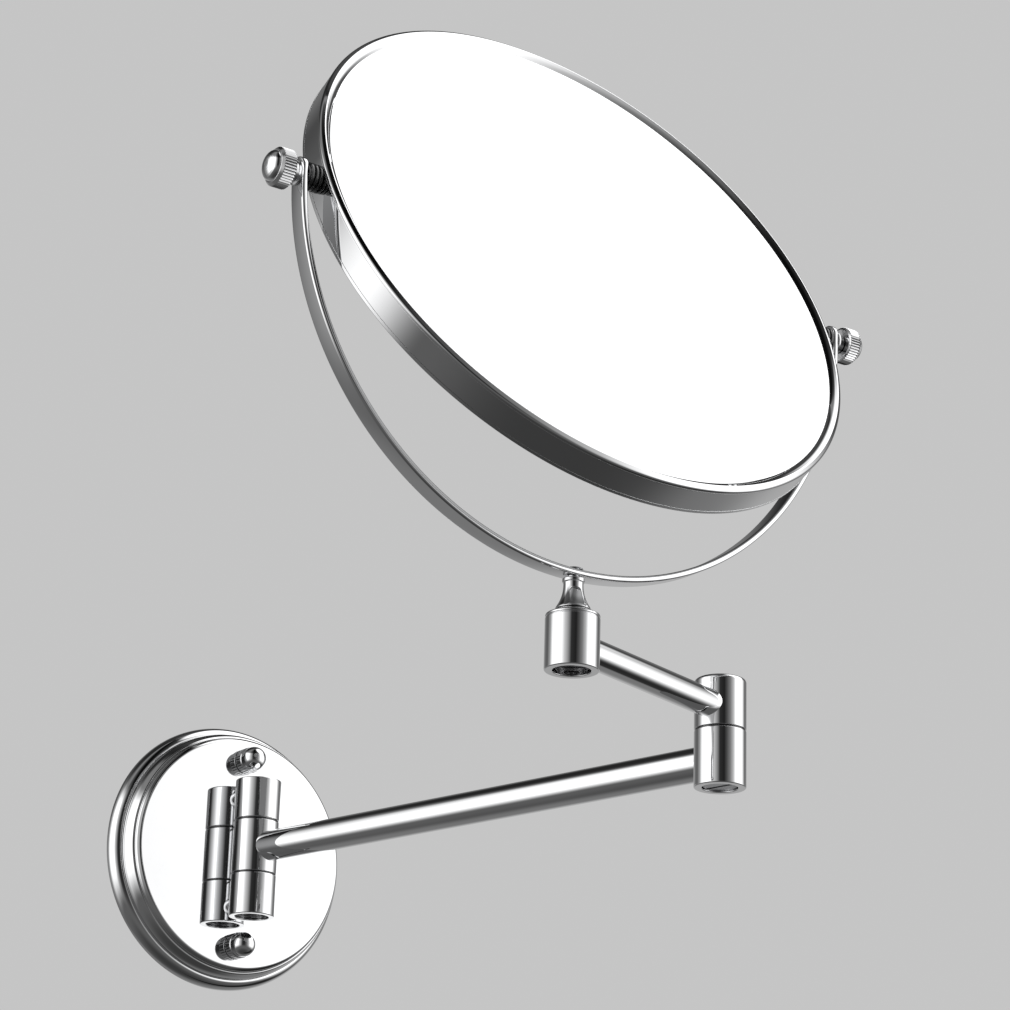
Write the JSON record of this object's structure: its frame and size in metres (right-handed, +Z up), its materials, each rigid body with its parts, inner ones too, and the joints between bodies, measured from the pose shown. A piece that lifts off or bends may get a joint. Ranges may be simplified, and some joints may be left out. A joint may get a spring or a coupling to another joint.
{
  "type": "extendable shaving mirror",
  "caption": "Round two-sided shaving mirror in a half-ring yoke on a folding chrome arm that is hinged to a round wall plate.",
  "frame": {"origin": "centre of the wall bracket's back face, which rests on the wall", "axes": "+Y into the wall, -Y towards the room, +Z up, +X to the right of a person who faces the wall"},
  "size_m": [0.2459, 0.3265, 0.3014],
  "materials": {
    "chrome": "polished",
    "knurled_chrome": "knurled",
    "steel": "satin",
    "dark": "matte",
    "mirror_glass": "polished",
    "board": "matte"
  },
  "bodies": {
    "wall_mount": {"wall_bracket_plate": "steel", "wall_plate": "chrome", "bracket_stud_upper": "steel", "bracket_stud_lower": "steel", "cap_nut_upper": "chrome", "cap_nut_lower": "chrome", "knuckle_upper": "chrome", "knuckle_lower": "chrome", "post_screw_upper": "steel", "post_screw_lower": "steel", "hinge_washer_upper": "dark", "hinge_washer_lower": "dark", "hinge_pin": "steel"},
    "long_arm": {"arm_knuckle": "chrome", "long_arm_tube": "chrome", "elbow_lower_body": "chrome", "elbow_pivot_screw": "steel", "elbow_washer": "dark"},
    "short_arm": {"elbow_upper_body": "chrome", "short_arm_rod": "chrome", "end_collar": "chrome"},
    "yoke": {"swivel_stem": "chrome", "swivel_washer": "dark", "swivel_screw": "dark", "yoke_rivet": "steel", "yoke_band": "chrome", "knob_washer_left": "dark", "knob_washer_right": "dark"},
    "mirror": {"mirror_rim": "chrome", "bezel_front": "chrome", "bezel_rear": "chrome", "glass_plain": "mirror_glass", "glass_magnifying": "mirror_glass", "backing_board": "board", "pivot_stud_left": "steel", "pivot_stud_right": "steel", "pivot_spacer_left": "dark", "pivot_spacer_right": "dark"},
    "knob_left": {"thumb_knob_left": "knurled_chrome"},
    "knob_right": {"thumb_knob_right": "knurled_chrome"}
  },
  "joints": [
    {"name": "wall_hinge", "type": "hinge", "parent": "wall_mount", "child": "long_arm", "pos_m": [0, -0.0247, 0], "axis": [0, 0, 1], "range_deg": [-101, 78.8]},
    {"name": "elbow", "type": "hinge", "parent": "long_arm", "child": "short_arm", "pos_m": [0.04455, -0.25177, 0], "axis": [0, 0, 1], "continuous": true},
    {"name": "yoke_swivel", "type": "hinge", "parent": "short_arm", "child": "yoke", "pos_m": [-0.03965, -0.27735, 0], "axis": [0, 0, 1], "continuous": true},
    {"name": "mirror_tilt", "type": "hinge", "parent": "yoke", "child": "mirror", "pos_m": [-0.03965, -0.27735, 0.15255], "axis": [0.9997, -0.0262, 0], "continuous": true},
    {"name": "knob_left_turn", "type": "hinge", "parent": "mirror", "child": "knob_left", "pos_m": [-0.15761, -0.27426, 0.15255], "axis": [-0.9997, 0.0262, 0], "range_deg": [0, 360]},
    {"name": "knob_right_turn", "type": "hinge", "parent": "mirror", "child": "knob_right", "pos_m": [0.07831, -0.28044, 0.15255], "axis": [0.9997, -0.0262, 0], "range_deg": [0, 360]}
  ]
}
